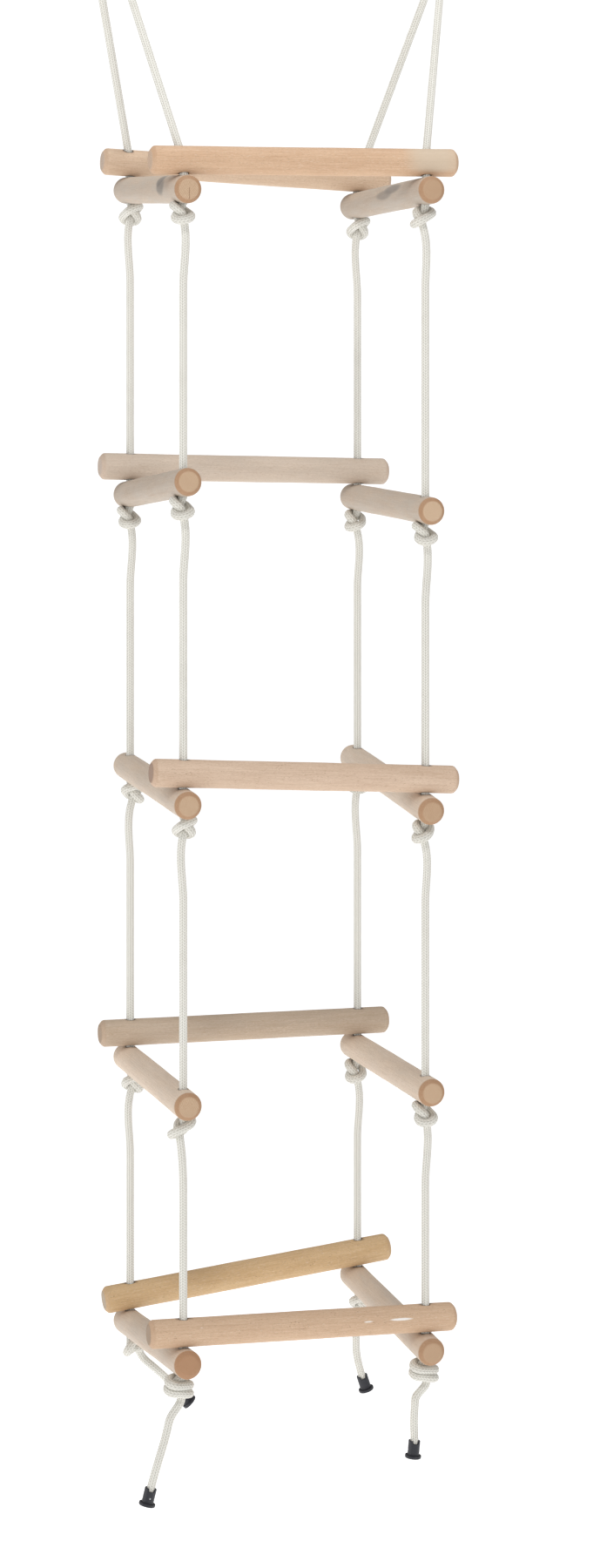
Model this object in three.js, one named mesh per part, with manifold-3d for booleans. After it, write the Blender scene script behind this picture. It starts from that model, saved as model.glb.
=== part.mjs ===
// A four-sided climbing rope ladder. Beech rungs lie in five storeys on stopper knots in four
// braided ropes, which hang as two pairs from two steel rings. Millimetres, +Z up, +X to the
// right and -Y to the front. The origin is midway between the two places where hooks bear
// inside the rings.
import * as THREE from 'three';
import { mergeVertices } from 'three/addons/utils/BufferGeometryUtils.js';
import Module from 'manifold-3d';

const wasm = await Module();
wasm.setup();

// ---------------------------------------------------------------- driving dimensions

const GAP = 0.35; // air between pieces that touch

const HOLE_SPACING_X = 315; // between the left and right ropes
const HOLE_SPACING_Y = 284; // between the front and rear ropes

const RUNG_DIAMETER = 35;
const CROSS_RUNG_LENGTH = 398; // front and rear rungs, along X
const SIDE_RUNG_LENGTH = 342; // left and right rungs, along Y
const END_CHAMFER = { radial: 5, axial: 4 };
const BORE_DIAMETER = 13;

const ROPE_DIAMETER = 10;
const RING_WIRE = 8;
const RING_RADIUS = 35; // to the middle of the wire
const RING_X = 239; // each ring's distance from the middle

// Height of the side rungs' axes at each rope. The knots were tied by hand, so each storey's
// mean height is followed by how far each corner strays from it.
const STOREYS = [
  { mean: -424, left_front: -11, right_front: -5, left_rear: 14, right_rear: 2 },
  { mean: -814, left_front: 17, right_front: -17, left_rear: 3, right_rear: -2 },
  { mean: -1185, left_front: -6, right_front: -21, left_rear: 12, right_rear: 14 },
  { mean: -1560, left_front: -1, right_front: -1, left_rear: 2, right_rear: 2 },
  { mean: -1885, left_front: 5, right_front: 0, left_rear: -21, right_rear: 15 },
];

// Which cross rungs each storey has, and how far each is off centre along its length.
const CROSS_RUNGS = [
  { storey: 1, side: 'front', shift: -1 },
  { storey: 1, side: 'rear', shift: 3 },
  { storey: 2, side: 'rear', shift: 0 },
  { storey: 3, side: 'front', shift: 0 },
  { storey: 4, side: 'rear', shift: 0 },
  { storey: 5, side: 'front', shift: -3 },
  { storey: 5, side: 'rear', shift: 4 },
];

const KNOT = { width: 33, height: 30 }; // a single overhand knot
const DOUBLE_KNOT = { width: 40, height: 31 }; // with one turn more, under the lowest front rungs

// The four ropes. tail is the free end's route below the lowest knot, as [x from the rope,
// y from the rope, z], down to the rope's end inside its cap.
const ROPES = {
  left_front: {
    sideX: -1, sideY: -1, lowestKnot: DOUBLE_KNOT, pinTurn: 90,
    tail: [[-6, 0, -1905], [-13, 0, -1923], [-16.6, -1, -1951], [-23, -2, -1972],
      [-32, -3, -1998], [-39, -3, -2021], [-45.5, -3, -2046]],
  },
  right_front: {
    sideX: 1, sideY: -1, lowestKnot: DOUBLE_KNOT, pinTurn: 0,
    tail: [[-6, 0, -1910], [-11.5, 0, -1925], [-13.7, 0, -1952], [-15.2, 0, -1979],
      [-14.6, 0, -2001], [-16, 0, -2018]],
  },
  left_rear: {
    sideX: -1, sideY: 1, lowestKnot: KNOT, pinTurn: 0,
    tail: [[10, 0, -1938], [24, -1, -1951], [34, -3, -1965], [46, -5, -1980],
      [61, -8, -1997], [75, -10, -2011]],
  },
  right_rear: {
    sideX: 1, sideY: 1, lowestKnot: KNOT, pinTurn: 0,
    tail: [[-3, 0, -1902], [-1, 0, -1925], [-2, 0, -1950], [-1, 0, -1972],
      [4, 0, -1994], [11, 0, -2016]],
  },
};

const CAP = {
  barrelDiameter: 14.8, boreDiameter: 11, height: 22, // the moulded cap on each rope's end
  flangeDiameter: 20.5, flangeHeight: 4, floor: 6,
  notchWidth: 9, notchDepth: 3.5, // the two prongs stand between two notches
};
const PIN = { diameter: 2, hole: 2.7, aboveBase: 10.5 }; // holds the cap on the rope

const OVER_SPACING = 12; // between the two turns inside a ring
const TURN_RADIUS = 10; // from the ring wire's axis to the rope's axis
const TURN_STEPS = 11; // of each leg's share of the round turn
const MEETING_TURN = 1.6; // degrees, from where the two legs meet to each leg's end face

// ---------------------------------------------------------------- materials

const finish = (color, roughness, metalness = 0) =>
  new THREE.MeshStandardMaterial({ color, roughness, metalness });

const FINISHES = {
  crossWood: () => finish(0xd9b18b, 0.62),
  sideWood: () => finish(0xcdb79a, 0.66),
  rope: () => finish(0xe6e1d2, 0.85),
  plastic: () => finish(0x15161d, 0.42),
  steel: () => finish(0xb9bcc0, 0.32, 1),
};

// ---------------------------------------------------------------- solids

// A closed geometry as a solid that can be joined and cut.
function solid(geometry) {
  const bare = geometry.clone();
  bare.deleteAttribute('normal');
  bare.deleteAttribute('uv');
  const merged = mergeVertices(bare, 1e-4);
  return new wasm.Manifold(new wasm.Mesh({
    numProp: 3,
    vertProperties: Float32Array.from(merged.attributes.position.array),
    triVerts: Uint32Array.from(merged.index.array),
  }));
}

function joined(solids) {
  return solids.reduce((whole, next) => whole.add(next));
}

// A named mesh of a solid, or of a geometry that needs no joining or cutting.
function piece(name, body, material) {
  let geometry = body;
  if (!body.isBufferGeometry) {
    const mesh = body.getMesh();
    geometry = new THREE.BufferGeometry();
    geometry.setAttribute('position', new THREE.BufferAttribute(mesh.vertProperties, 3));
    geometry.setIndex(new THREE.BufferAttribute(mesh.triVerts, 1));
    geometry.computeVertexNormals();
  }
  const made = new THREE.Mesh(geometry, material);
  made.name = name;
  return made;
}

// A curve whose steps fall on its own points, so a long straight run costs one step.
class Route extends THREE.Curve {
  constructor(points) {
    super();
    this.points = points;
  }

  getPoint(t) {
    const place = t * (this.points.length - 1);
    const i = Math.min(Math.floor(place), this.points.length - 2);
    return this.points[i].clone().lerp(this.points[i + 1], place - i);
  }

  getPointAt(u) {
    return this.getPoint(u);
  }

  getTangentAt(u) {
    const i = Math.round(u * (this.points.length - 1));
    const before = this.points[Math.max(i - 1, 0)];
    const after = this.points[Math.min(i + 1, this.points.length - 1)];
    return after.clone().sub(before).normalize();
  }
}

function tube(points, diameter, sides) {
  const section = new THREE.Shape();
  for (let i = 0; i < sides; i += 1) {
    const turn = (i / sides) * 2 * Math.PI;
    const at = [Math.cos(turn) * diameter / 2, Math.sin(turn) * diameter / 2];
    if (i === 0) section.moveTo(...at);
    else section.lineTo(...at);
  }
  section.closePath();
  return new THREE.ExtrudeGeometry(section, {
    steps: points.length - 1, extrudePath: new Route(points), bevelEnabled: false,
  });
}

const vector = (x, y, z) => new THREE.Vector3(x, y, z);

// ---------------------------------------------------------------- where the ropes run

const cornerX = (rope) => rope.sideX * HOLE_SPACING_X / 2;
const cornerY = (rope) => rope.sideY * HOLE_SPACING_Y / 2;
const storeyHeight = (storey, corner) => STOREYS[storey - 1].mean + STOREYS[storey - 1][corner];

// Slope of a side rung, from its front rope to its rear one.
function sideSlope(storey, side) {
  const rise = storeyHeight(storey, `${side}_rear`) - storeyHeight(storey, `${side}_front`);
  return Math.atan2(rise, HOLE_SPACING_Y);
}

// Height of a cross rung's axis where it rests on the side rung at that corner.
function crossHeight(storey, corner) {
  const side = corner.split('_')[0];
  const lift = (RUNG_DIAMETER + GAP) / Math.cos(sideSlope(storey, side));
  return storeyHeight(storey, corner) + lift + GAP;
}

const barHeight = -(RING_RADIUS - RING_WIRE / 2) - RING_RADIUS; // the wire's lowest point

// The rope's place on the ring. turn is the angle about the wire, from the rear leg at 0,
// by way of the inside of the ring at 90, to the front leg at 180.
function onRing(sideX, turn) {
  const halfStep = OVER_SPACING / (RING_RADIUS - TURN_RADIUS) / 2;
  const progress = THREE.MathUtils.smoothstep(90 - turn, 0, 360);
  const along = (2 * progress - 1) * halfStep * sideX; // the front leg is the inner one
  const angle = THREE.MathUtils.degToRad(turn);
  const inward = RING_RADIUS - TURN_RADIUS * Math.sin(angle);
  return vector(
    sideX * RING_X + inward * Math.sin(along),
    TURN_RADIUS * Math.cos(angle),
    barHeight + RING_RADIUS - inward * Math.cos(along),
  );
}

// Each rope takes a round turn on its ring, then runs down to its corner. The two legs of
// a pair meet under the ring.
function ropeRoute(corner) {
  const rope = ROPES[corner];
  const bend = vector(cornerX(rope), cornerY(rope), crossHeight(1, corner));
  const legAngle = THREE.MathUtils.radToDeg(
    Math.atan2(HOLE_SPACING_Y / 2, barHeight - bend.z),
  );
  const way = rope.sideY < 0 ? 1 : -1;
  const meet = -90 + way * MEETING_TURN;
  const leave = rope.sideY < 0 ? 180 - legAngle : legAngle - 360;
  const points = [onRing(rope.sideX, meet)];
  for (let i = 0; i <= TURN_STEPS; i += 1) {
    const start = meet + way * MEETING_TURN;
    points.push(onRing(rope.sideX, start + (leave - start) * (i / TURN_STEPS)));
  }
  const top = points[points.length - 1];
  const down = bend.clone().sub(top).normalize();
  points.push(bend.clone().addScaledVector(down, -9), vector(bend.x, bend.y, bend.z - 9));
  const lowest = storeyHeight(5, corner) - RUNG_DIAMETER / 2;
  points.push(vector(bend.x, bend.y, lowest));
  for (const [x, y, z] of rope.tail) points.push(vector(bend.x + x, bend.y + y, z));
  return points;
}

// ---------------------------------------------------------------- ropes and their ends

// The knot that a side rung rests on, as a solid of its outer shape.
function knot(corner, storey) {
  const rope = ROPES[corner];
  const size = storey === 5 ? rope.lowestKnot : KNOT;
  const slope = sideSlope(storey, corner.split('_')[0]);
  const rungBottom = storeyHeight(storey, corner) - (RUNG_DIAMETER / 2 + GAP) / Math.cos(slope);
  const lump = new THREE.SphereGeometry(1, 10, 6);
  lump.rotateX(Math.PI / 2);
  lump.scale(size.width / 2, KNOT.width / 2, size.height / 2);
  lump.translate(cornerX(rope), cornerY(rope), rungBottom - GAP - size.height / 2);
  return solid(lump);
}

function ropeEnd(corner) {
  const route = ropeRoute(corner);
  const end = route[route.length - 1];
  const outwards = end.clone().sub(route[route.length - 2]).normalize();
  return { end, outwards };
}

// Turns and moves a piece built on the cap's own axis, base at z = 0 and mouth up, to the
// rope's end.
function placeOnEnd(geometry, corner) {
  const { end, outwards } = ropeEnd(corner);
  const base = end.clone().addScaledVector(outwards, CAP.floor + GAP);
  const up = outwards.clone().negate();
  const turn = new THREE.Quaternion().setFromUnitVectors(vector(0, 0, 1), up);
  geometry.applyQuaternion(turn);
  geometry.translate(base.x, base.y, base.z);
  return geometry;
}

function pinGeometry(corner, diameter, length) {
  const pin = new THREE.CylinderGeometry(diameter / 2, diameter / 2, length, 8);
  pin.rotateZ(Math.PI / 2);
  pin.rotateZ(THREE.MathUtils.degToRad(ROPES[corner].pinTurn));
  pin.translate(0, 0, PIN.aboveBase);
  return placeOnEnd(pin, corner);
}

const pinHole = (corner) => solid(pinGeometry(corner, PIN.hole, CAP.flangeDiameter));

function rope(corner) {
  const line = solid(tube(ropeRoute(corner), ROPE_DIAMETER, 8));
  const knots = STOREYS.map((_, i) => knot(corner, i + 1));
  return piece(`${corner}_rope`, joined([line, ...knots]).subtract(pinHole(corner)),
    FINISHES.rope());
}

function endCap(corner) {
  const profile = [
    [0, 0], [CAP.flangeDiameter / 2 - 1, 0], [CAP.flangeDiameter / 2, 1],
    [CAP.flangeDiameter / 2, CAP.flangeHeight], [CAP.barrelDiameter / 2, CAP.flangeHeight],
    [CAP.barrelDiameter / 2, CAP.height], [CAP.boreDiameter / 2, CAP.height],
    [CAP.boreDiameter / 2, CAP.floor], [0, CAP.floor],
  ].map(([x, y]) => new THREE.Vector2(x, y));
  const cup = new THREE.LatheGeometry(profile, 16);
  cup.rotateX(Math.PI / 2);
  const notch = new THREE.BoxGeometry(CAP.notchWidth, CAP.flangeDiameter, 2 * CAP.notchDepth);
  notch.translate(0, 0, CAP.height);
  const cap = solid(placeOnEnd(cup, corner)).subtract(solid(placeOnEnd(notch, corner)));
  return piece(`${corner}_end_cap`, cap.subtract(pinHole(corner)), FINISHES.plastic());
}

function capPin(corner) {
  return piece(`${corner}_cap_pin`, pinGeometry(corner, PIN.diameter, CAP.barrelDiameter + 0.6),
    FINISHES.steel());
}

function ring(name, sideX) {
  const torus = new THREE.TorusGeometry(RING_RADIUS, RING_WIRE / 2, 8, 28);
  torus.rotateX(Math.PI / 2);
  torus.translate(sideX * RING_X, 0, barHeight + RING_RADIUS);
  return piece(name, torus, FINISHES.steel());
}

// ---------------------------------------------------------------- rungs

// A dowel along X with chamfered ends.
function dowel(length) {
  const radius = RUNG_DIAMETER / 2;
  const half = length / 2;
  const profile = [
    [0, -half], [radius - END_CHAMFER.radial, -half], [radius, -half + END_CHAMFER.axial],
    [radius, half - END_CHAMFER.axial], [radius - END_CHAMFER.radial, half], [0, half],
  ].map(([x, y]) => new THREE.Vector2(x, y));
  const turned = new THREE.LatheGeometry(profile, 20);
  turned.rotateZ(-Math.PI / 2);
  return turned;
}

// The bores follow the ropes' own line, so the taut ropes run through tilted rungs freely.
function bore(corner, storey) {
  const rope = ROPES[corner];
  const bend = vector(cornerX(rope), cornerY(rope), crossHeight(1, corner));
  const route = ropeRoute(corner);
  const reach = RUNG_DIAMETER;
  if (storey > 1) {
    const z = storeyHeight(storey, corner);
    return solid(tube([vector(bend.x, bend.y, z + 2 * reach), vector(bend.x, bend.y, z - reach)],
      BORE_DIAMETER, 8));
  }
  const down = route[TURN_STEPS + 2].clone().sub(route[TURN_STEPS + 1]).normalize();
  const points = [
    bend.clone().addScaledVector(down, -reach), bend.clone().addScaledVector(down, -9),
    vector(bend.x, bend.y, bend.z - 9), vector(bend.x, bend.y, bend.z - 2 * reach),
  ];
  return solid(tube(points, BORE_DIAMETER, 8));
}

function sideRung(storey, side) {
  const front = storeyHeight(storey, `${side}_front`);
  const rear = storeyHeight(storey, `${side}_rear`);
  const shape = dowel(SIDE_RUNG_LENGTH);
  shape.rotateZ(Math.PI / 2);
  shape.rotateX(sideSlope(storey, side));
  shape.translate(cornerX(ROPES[`${side}_front`]), 0, (front + rear) / 2);
  const cut = [bore(`${side}_front`, storey), bore(`${side}_rear`, storey)];
  return piece(`${side}_rung_${storey}`, solid(shape).subtract(joined(cut)), FINISHES.sideWood());
}

function crossRung({ storey, side, shift }) {
  const left = crossHeight(storey, `left_${side}`);
  const right = crossHeight(storey, `right_${side}`);
  const shape = dowel(CROSS_RUNG_LENGTH);
  shape.translate(shift, 0, 0);
  shape.rotateY(-Math.atan2(right - left, HOLE_SPACING_X));
  shape.translate(0, cornerY(ROPES[`left_${side}`]), (left + right) / 2);
  const cut = [bore(`left_${side}`, storey), bore(`right_${side}`, storey)];
  return piece(`${side}_rung_${storey}`, solid(shape).subtract(joined(cut)), FINISHES.crossWood());
}

// ---------------------------------------------------------------- the ladder

const ladder = new THREE.Group();
ladder.add(ring('left_ring', -1), ring('right_ring', 1));
for (const corner of Object.keys(ROPES)) {
  ladder.add(rope(corner), endCap(corner), capPin(corner));
}
for (let storey = 1; storey <= STOREYS.length; storey += 1) {
  ladder.add(sideRung(storey, 'left'), sideRung(storey, 'right'));
}
for (const rung of CROSS_RUNGS) ladder.add(crossRung(rung));

export default ladder;
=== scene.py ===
"""The looks of a four-sided climbing rope ladder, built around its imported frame, in metres.

Beech rungs lie in five storeys on stopper knots in four braided ropes. The ropes hang as two
pairs from two steel rings, and their lower ends carry moulded caps.
"""

import logging
import math
from collections.abc import Sequence
from dataclasses import dataclass
from enum import Enum

import bpy
import numpy as np
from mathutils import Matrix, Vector


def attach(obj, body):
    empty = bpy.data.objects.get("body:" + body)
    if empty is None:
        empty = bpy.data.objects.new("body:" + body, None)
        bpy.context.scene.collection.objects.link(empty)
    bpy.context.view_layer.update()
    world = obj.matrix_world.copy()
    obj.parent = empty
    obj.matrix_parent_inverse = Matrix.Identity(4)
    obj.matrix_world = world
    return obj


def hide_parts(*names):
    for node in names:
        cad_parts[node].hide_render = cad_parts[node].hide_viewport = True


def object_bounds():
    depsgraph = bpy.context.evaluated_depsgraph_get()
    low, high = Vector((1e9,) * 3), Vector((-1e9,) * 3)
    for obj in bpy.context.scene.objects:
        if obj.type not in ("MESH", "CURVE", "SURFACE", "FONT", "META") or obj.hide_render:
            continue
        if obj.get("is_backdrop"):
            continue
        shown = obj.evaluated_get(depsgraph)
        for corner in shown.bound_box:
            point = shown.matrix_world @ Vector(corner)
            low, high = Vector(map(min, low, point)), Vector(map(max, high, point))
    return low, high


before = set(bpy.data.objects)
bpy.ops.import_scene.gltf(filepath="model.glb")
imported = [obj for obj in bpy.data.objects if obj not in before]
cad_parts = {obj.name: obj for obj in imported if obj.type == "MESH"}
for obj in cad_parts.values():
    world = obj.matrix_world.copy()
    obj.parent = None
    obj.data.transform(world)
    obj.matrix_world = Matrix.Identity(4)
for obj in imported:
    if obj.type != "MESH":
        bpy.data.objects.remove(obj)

log = logging.getLogger("ladder")

Points = np.ndarray
Colour = tuple[float, float, float]

UP = np.array([0.0, 0.0, 1.0])
TURN = 2 * math.pi
MILLIMETRE = 0.001


# ------------------------------------------------------------------ the ladder's plan


class Corner(Enum):
    """The four ropes, each with the sides it hangs on: -1 is left or front, 1 right or rear."""

    LEFT_FRONT = ("left_front", -1, -1)
    RIGHT_FRONT = ("right_front", 1, -1)
    LEFT_REAR = ("left_rear", -1, 1)
    RIGHT_REAR = ("right_rear", 1, 1)

    @property
    def label(self) -> str:
        """The corner's name, as the frame's nodes have it."""
        return self.value[0]

    @property
    def side_x(self) -> int:
        """-1 on the left, 1 on the right."""
        return self.value[1]

    @property
    def side_y(self) -> int:
        """-1 at the front, 1 at the rear."""
        return self.value[2]


@dataclass(frozen=True)
class Axis:
    """A rung's axis, from its left or front end to its right or rear one."""

    start: Points
    end: Points

    @property
    def direction(self) -> Points:
        """The unit vector along the rung."""
        return (self.end - self.start) / np.linalg.norm(self.end - self.start)

    def height_at(self, which: int, value: float) -> float:
        """Where the axis passes a plane.

        Args:
            which: 0 for a plane across X, 1 for a plane across Y.
            value: the plane's place on that axis.

        Returns:
            The axis's height there.
        """
        share = (value - self.start[which]) / (self.end[which] - self.start[which])
        return float(self.start[2] + share * (self.end[2] - self.start[2]))


def node_axis(name: str) -> Axis:
    """Finds a dowel's axis from the middle of its two end faces.

    Args:
        name: the frame's node.

    Returns:
        The axis, in the row frame.
    """
    points = np.array([v.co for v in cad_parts[name].data.vertices], float)
    middle = points.mean(0)
    along = np.linalg.svd(points - middle, full_matrices=False)[2][0]
    along = along * np.sign(along[np.abs(along[:2]).argmax()])
    face_depth = 0.8 * MILLIMETRE
    for _ in range(2):
        place = (points - middle) @ along
        start = points[place < place.min() + face_depth].mean(0)
        end = points[place > place.max() - face_depth].mean(0)
        along = (end - start) / np.linalg.norm(end - start)
    return Axis(start, end)


@dataclass(frozen=True)
class Plan:
    """The sizes that several sub-assemblies share."""

    hole_spacing_x: float = 0.315
    hole_spacing_y: float = 0.284
    rope_diameter: float = 0.010
    rung_diameter: float = 0.035
    bore_diameter: float = 0.0119
    storeys: int = 5
    ring_x: float = 0.239
    ring_radius: float = 0.035
    ring_wire: float = 0.008
    ring_turn_radius: float = 0.010
    ring_turn_spacing: float = 0.012
    leg_bend: float = 0.009
    mouth_shift: float = 0.003

    @property
    def bar_height(self) -> float:
        """The height of the ring wire's axis at the bottom of a ring."""
        return -(2 * self.ring_radius - self.ring_wire / 2)

    def corner_xy(self, corner: Corner) -> tuple[float, float]:
        """Where a rope hangs, seen from above."""
        return corner.side_x * self.hole_spacing_x / 2, corner.side_y * self.hole_spacing_y / 2

    def side_axis(self, corner: Corner, storey: int) -> Axis:
        """The axis of the side rung that a rope goes through in a storey."""
        side = "left" if corner.side_x < 0 else "right"
        return node_axis(f"{side}_rung_{storey}")

    def top_rung_height(self, corner: Corner) -> float:
        """The height of the topmost cross rung's axis at a rope."""
        side = "front" if corner.side_y < 0 else "rear"
        return node_axis(f"{side}_rung_1").height_at(0, self.corner_xy(corner)[0])


PLAN = Plan()


# ------------------------------------------------------------------ curves


def resample(line: Points, step: float) -> Points:
    """Spaces points evenly along a line.

    Args:
        line: the points that it follows.
        step: the wanted distance between points.

    Returns:
        The even points, with the same two ends.
    """
    run = np.concatenate([[0], np.cumsum(np.linalg.norm(np.diff(line, axis=0), axis=1))])
    at = np.linspace(0, run[-1], max(2, int(round(run[-1] / step)) + 1))
    return np.stack([np.interp(at, run, line[:, k]) for k in range(3)], axis=1)


def length_of(line: Points) -> float:
    """The length of a line through points."""
    return float(np.linalg.norm(np.diff(line, axis=0), axis=1).sum())


def softened(line: Points, reach: int) -> Points:
    """Rounds a finely stepped line with a bell-shaped average.

    Args:
        line: even points.
        reach: how many points the average takes in on each side.

    Returns:
        The rounded points, with the same two ends.
    """
    weights = np.exp(-0.5 * (np.arange(-reach, reach + 1) / (reach / 2)) ** 2)
    weights /= weights.sum()
    before = 2 * line[0] - line[reach:0:-1]
    after = 2 * line[-1] - line[-2:-reach - 2:-1]
    padded = np.concatenate([before, line, after])
    return np.stack([np.convolve(padded[:, k], weights, "valid") for k in range(3)], axis=1)


def eased(start: Points, start_way: Points, end: Points, end_way: Points,
          steps: int = 24) -> Points:
    """A curve between two points that leaves and arrives in given directions.

    Args:
        start: the first point.
        start_way: the unit direction in which it leaves.
        end: the last point.
        end_way: the unit direction in which it arrives.
        steps: how many stretches it has.

    Returns:
        Its points, without the first.
    """
    pull = np.linalg.norm(end - start)
    t = np.linspace(0, 1, steps + 1)[1:, None]
    return ((2 * t**3 - 3 * t**2 + 1) * start + (t**3 - 2 * t**2 + t) * pull * start_way
            + (-2 * t**3 + 3 * t**2) * end + (t**3 - t**2) * pull * end_way)


def through(points: Points, steps: int = 12) -> Points:
    """A smooth curve through a few points.

    Args:
        points: the given points.
        steps: stretches between each two.

    Returns:
        The curve's points.
    """
    ends = [2 * points[0] - points[1], 2 * points[-1] - points[-2]]
    line = np.concatenate([[ends[0]], points, [ends[1]]])
    out = [points[0]]
    for a, b, c, d in zip(line[:-3], line[1:-2], line[2:-1], line[3:]):
        t = np.linspace(0, 1, steps + 1)[1:, None]
        out.extend(0.5 * (2 * b + (c - a) * t + (2 * a - 5 * b + 4 * c - d) * t**2
                          + (3 * b - a - 3 * c + d) * t**3))
    return np.array(out)


# ------------------------------------------------------------------ knots


class KnotForm(Enum):
    """An overhand knot, or a double one whose two wraps lie on each other round the rope."""

    SINGLE = 1
    DOUBLE = 2


@dataclass(frozen=True)
class KnotPull:
    """Ties a loose overhand knot in a rope one unit thick and pulls it tight.

    The strand shortens like a stretched band while strands that touch push each other apart.
    Lengths are in rope diameters; neighbours is how far along the strand two points may touch.
    """

    anchor: float = 3.2
    loose_step: float = 0.4
    tight_step: float = 0.25
    fine_step: float = 0.2
    neighbours: float = 1.45
    rounds: int = 350
    settling: int = 4
    respace_every: int = 8

    def loose(self) -> Points:
        """The open overhand knot: a trefoil wound on a torus, cut and led out to two far anchors.

        Returns:
            Its strand, from the upper anchor to the lower one.
        """
        wide, tube, open_size, far = 2.0, 0.9, 1.25, 7
        t = np.linspace(0, TURN, 1200)[4:-4]
        swell = wide + tube * np.cos(3 * t)
        turns = open_size * np.stack([tube * np.sin(3 * t), swell * np.cos(2 * t) - wide - tube,
                                      swell * np.sin(2 * t)], axis=1)
        lead = np.linspace(4, 0.05, 60)[:, None]
        line = np.concatenate([turns[:1] - UP * lead, turns, turns[-1:] + UP * lead[::-1]])[::-1]
        line = line - (line[0] + line[-1]) / 2
        return np.concatenate([[far * UP], line[1:-1], [-far * UP]])

    def barrel(self) -> Points:
        """The double knot as it is wrapped: down the core, twice round it and down again.

        Returns:
            Its strand, from above to below.
        """
        core, wide, flat, high, points = 0.52, 1.5, 0.92, 1.12, 90
        turn = np.radians(np.linspace(75, 1005, points))
        wraps = np.stack([wide * np.cos(turn), wide * flat * np.sin(turn),
                          np.linspace(-high, high, points)], axis=1)
        into = np.array([[0, 0, 3.4], [0.2, 0, 2.6], [core, 0, 1.6], [core, 0, 0],
                         [core, 0.05, -1.3], [0.78, 0.6, -1.75]])
        half_turn = np.array([-1.0, 1.0, -1.0])
        return through(np.concatenate([into, wraps, (into * half_turn)[::-1]]), 4)

    def shorten(self, line: Points, step: float, rounds: int, draw: tuple[float, float]) -> Points:
        """Lets the line shorten between its ends without passing through itself.

        Args:
            line: the points of the strand's middle.
            step: the distance between points.
            rounds: how many times it shortens.
            draw: how hard it draws in the first round and in the last.

        Returns:
            The shorter line.
        """
        ends = line[0].copy(), line[-1].copy()
        line = resample(line, step)
        for turn in range(rounds):
            pull = draw[0] + (draw[1] - draw[0]) * turn / rounds
            line[1:-1] += pull * ((line[:-2] + line[2:]) / 2 - line[1:-1])
            index = np.arange(len(line))
            apart = np.abs(index[:, None] - index[None]) >= math.ceil(self.neighbours / step)
            for _ in range(self.settling):
                gap = line[:, None] - line[None]
                distance = np.sqrt((gap**2).sum(2)) + 1e-9
                touching = (distance < 1) & apart
                if not touching.any():
                    break
                push = np.where(touching, (1 - distance) / distance * 0.5, 0)
                count = np.maximum(touching.sum(1) * 0.6, 1)
                line = line + (push[:, :, None] * gap).sum(1) / count[:, None]
                line[0], line[-1] = ends
            if turn % self.respace_every == self.respace_every - 1:
                line = resample(line, step)
        return line

    def recentred(self, line: Points) -> Points:
        """Cuts the line's straight ends off and hangs its turns between two near anchors.

        Args:
            line: the points of the strand's middle.

        Returns:
            The shorter strand, about its middle.
        """
        nearly_touching, neighbours, kept_lead = 1.12, 1.5, 0.6
        step = length_of(line) / (len(line) - 1)
        index = np.arange(len(line))
        distance = np.linalg.norm(line[:, None] - line[None], axis=2)
        apart = np.abs(index[:, None] - index[None]) >= math.ceil(neighbours / step)
        turns = np.flatnonzero(((distance < nearly_touching) & apart).any(1))
        lead = int(kept_lead / step)
        line = line[max(turns[0] - lead, 0):turns[-1] + lead + 1]
        line = line - (line.max(0) + line.min(0)) / 2
        return np.concatenate([[self.anchor * UP], line, [-self.anchor * UP]])

    def tight(self, form: KnotForm) -> Points:
        """Ties the knot and pulls it tight.

        Args:
            form: which knot.

        Returns:
            Its strand, from its upper end to its lower one, in rope diameters.
        """
        if form is KnotForm.DOUBLE:
            return self.shorten(self.barrel(), self.fine_step, 160, (0.5, 0.3))
        line = self.shorten(self.loose(), self.loose_step, 500, (1.0, 0.9))
        for step, last in ((self.tight_step, 0.7), (self.tight_step, 0.7), (self.fine_step, 0.3)):
            line = self.shorten(self.recentred(line), step, self.rounds, (0.9, last))
        return line


@dataclass(frozen=True)
class Knot:
    """One tied knot.

    turn is in degrees about the rope, lean tips the knot's lower end towards +X, and shift
    moves it along X and Z from its place under the bore.
    """

    turn: float
    left_handed: bool = False
    form: KnotForm = KnotForm.SINGLE
    lean: float = 0.0
    size: float = 1.0
    shift: tuple[float, float] = (0.0, 0.0)

    def strand(self, shapes: dict[KnotForm, Points]) -> Points:
        """Places the knot with its top at the origin.

        Args:
            shapes: the tight knots, in rope diameters.

        Returns:
            The strand from where it enters the knot's top to where it leaves its bottom, in
            metres from the point where it enters.
        """
        line = shapes[self.form] * PLAN.rope_diameter * self.size
        if self.left_handed:
            line = line * [-1, 1, 1]
        c, s = math.cos(math.radians(self.turn)), math.sin(math.radians(self.turn))
        line = line @ np.array([[c, s, 0], [-s, c, 0], [0, 0, 1]])
        straight_share, hidden_depth = 0.12, 0.005
        lead = int(straight_share * len(line))
        turns = line[lead:-lead, 2]
        half_rope = PLAN.rope_diameter / 2
        top, bottom = turns.max() + half_rope, turns.min() - half_rope
        first = int(np.argmax(line[:, 2] < top))
        last = int(len(line) - 1 - np.argmax(line[::-1, 2] > bottom))
        line = line[first:last + 1] - line[first]
        c, s = math.cos(math.radians(self.lean)), math.sin(math.radians(self.lean))
        line = line @ np.array([[c, 0, s], [0, 1, 0], [-s, 0, c]])
        if not any(self.shift):
            return line
        under = int(np.argmax(line[:, 2] < -hidden_depth))
        return np.concatenate([line[:1], line[under:] + [self.shift[0], 0, self.shift[1]]])


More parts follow.
